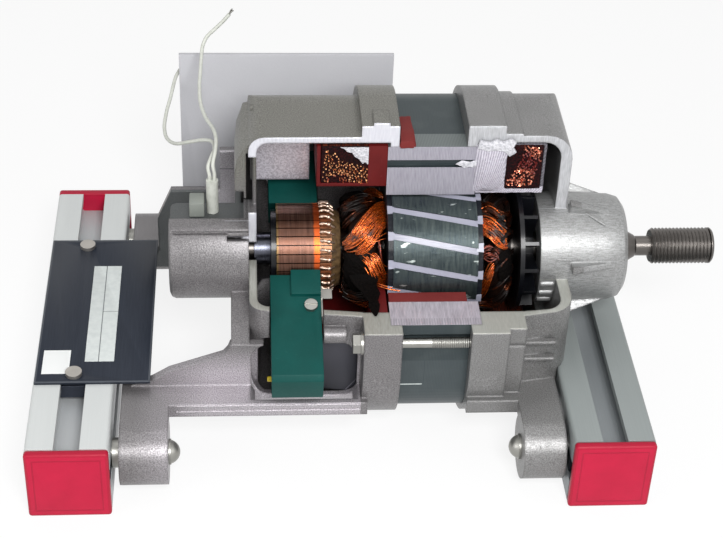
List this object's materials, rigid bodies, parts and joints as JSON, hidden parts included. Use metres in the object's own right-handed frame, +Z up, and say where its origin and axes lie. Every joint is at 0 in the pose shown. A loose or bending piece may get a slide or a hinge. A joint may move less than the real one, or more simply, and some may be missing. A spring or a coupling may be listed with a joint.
{
  "type": "cutaway electric motor",
  "caption": "Sectioned universal motor with commutator, brushes, fan and ribbed belt shaft, carried on two slotted rails as a teaching model.",
  "frame": {"origin": "middle of the base, on the floor, measured without the free leads", "axes": "+X along the shaft to the ribbed end, +Y away from the open side, +Z up"},
  "size_m": [0.3046, 0.1946, 0.1415],
  "materials": {
    "light_rail": "satin anodised extrusion",
    "grey_rail": "satin anodised extrusion",
    "red_cap": "moulded",
    "navy_plate": "satin with blank pale fields",
    "steel": "turned or zinc plated",
    "casting": "die cast, speckled, bright where cut",
    "lamination": "stacked sheets, dark teal grey",
    "coil": "potted copper wire",
    "copper": "enamelled copper wire",
    "maroon": "moulded",
    "white_wrap": "wound tape",
    "paper": "pressed board",
    "teal": "moulded",
    "carbon": "pressed carbon",
    "dark_plastic": "moulded",
    "grey_plastic": "moulded",
    "white_sleeve": "soft sleeve",
    "panel": "matt sheet",
    "wedge": "slot liner",
    "comm_copper": "worn copper",
    "resin": "cast resin",
    "dark_resin": "impregnated"
  },
  "bodies": {
    "frame": {"left_rail": "light_rail", "right_rail": "grey_rail", "left_front_cap": "red_cap", "left_rear_cap": "red_cap", "right_front_cap": "red_cap", "right_rear_cap": "red_cap", "nameplate": "navy_plate", "nameplate_screws": "steel", "nameplate_nuts": "steel", "foot_bolts": "steel", "foot_spacers": "steel", "foot_nuts": "steel", "left_housing": "casting", "right_housing": "casting", "core": "lamination", "upper_field_coil": "coil", "lower_field_coil": "coil", "upper_bobbin": "maroon", "lower_bobbin": "maroon", "coil_wrap": "white_wrap", "slot_paper": "paper", "tie_bolts": "steel", "tie_washers": "steel", "front_brush_holder": "teal", "rear_brush_holder": "teal", "front_brush_spring": "steel", "rear_brush_spring": "steel", "holder_screws": "steel", "brush_terminals": "steel", "left_bearing_outer": "steel", "right_bearing_outer": "steel", "sensor_coil": "dark_plastic", "sensor_cap": "dark_plastic", "sensor_socket": "grey_plastic", "lead_sleeve": "white_sleeve", "lead_upper": "white_sleeve", "lead_looped": "white_sleeve", "rear_panel": "panel", "panel_screws": "steel"},
    "rotor": {"shaft": "steel", "shaft_spacer": "steel", "rotor_core": "lamination", "slot_wedges": "wedge", "left_head_core": "dark_resin", "left_winding": "copper", "right_head_core": "dark_resin", "right_winding": "copper", "commutator_bars": "comm_copper", "commutator_hub": "dark_resin", "commutator_end_ring": "dark_plastic", "commutator_resin": "resin", "fan": "dark_plastic", "left_bearing_inner": "steel", "right_bearing_inner": "steel", "sensor_magnet": "dark_plastic"},
    "left_balls": {"left_ball_set": "steel"},
    "right_balls": {"right_ball_set": "steel"},
    "front_brush": {"front_brush": "carbon"},
    "rear_brush": {"rear_brush": "carbon"}
  },
  "joints": [
    {"name": "rotor_spin", "type": "hinge", "parent": "frame", "child": "rotor", "pos_m": [0, 0, 0.069], "axis": [1, 0, 0], "continuous": true},
    {"name": "left_ball_orbit", "type": "hinge", "parent": "frame", "child": "left_balls", "pos_m": [-0.0648, 0, 0.069], "axis": [1, 0, 0], "continuous": true},
    {"name": "right_ball_orbit", "type": "hinge", "parent": "frame", "child": "right_balls", "pos_m": [0.0924, 0, 0.069], "axis": [1, 0, 0], "continuous": true},
    {"name": "front_brush_slide", "type": "slide", "parent": "frame", "child": "front_brush", "axis": [0, -0.9511, -0.309], "range_m": [0, 0.008], "stiffness_N_per_m": 300, "springref_m": -0.008, "deforming": ["front_brush_spring"]},
    {"name": "rear_brush_slide", "type": "slide", "parent": "frame", "child": "rear_brush", "axis": [0, 0.9511, 0.309], "range_m": [0, 0.008], "stiffness_N_per_m": 300, "springref_m": -0.008, "deforming": ["rear_brush_spring"]}
  ],
  "couplings": [
    {"joint": "left_ball_orbit", "follows": "rotor_spin", "ratio": 0.36},
    {"joint": "right_ball_orbit", "follows": "rotor_spin", "ratio": 0.3636}
  ]
}
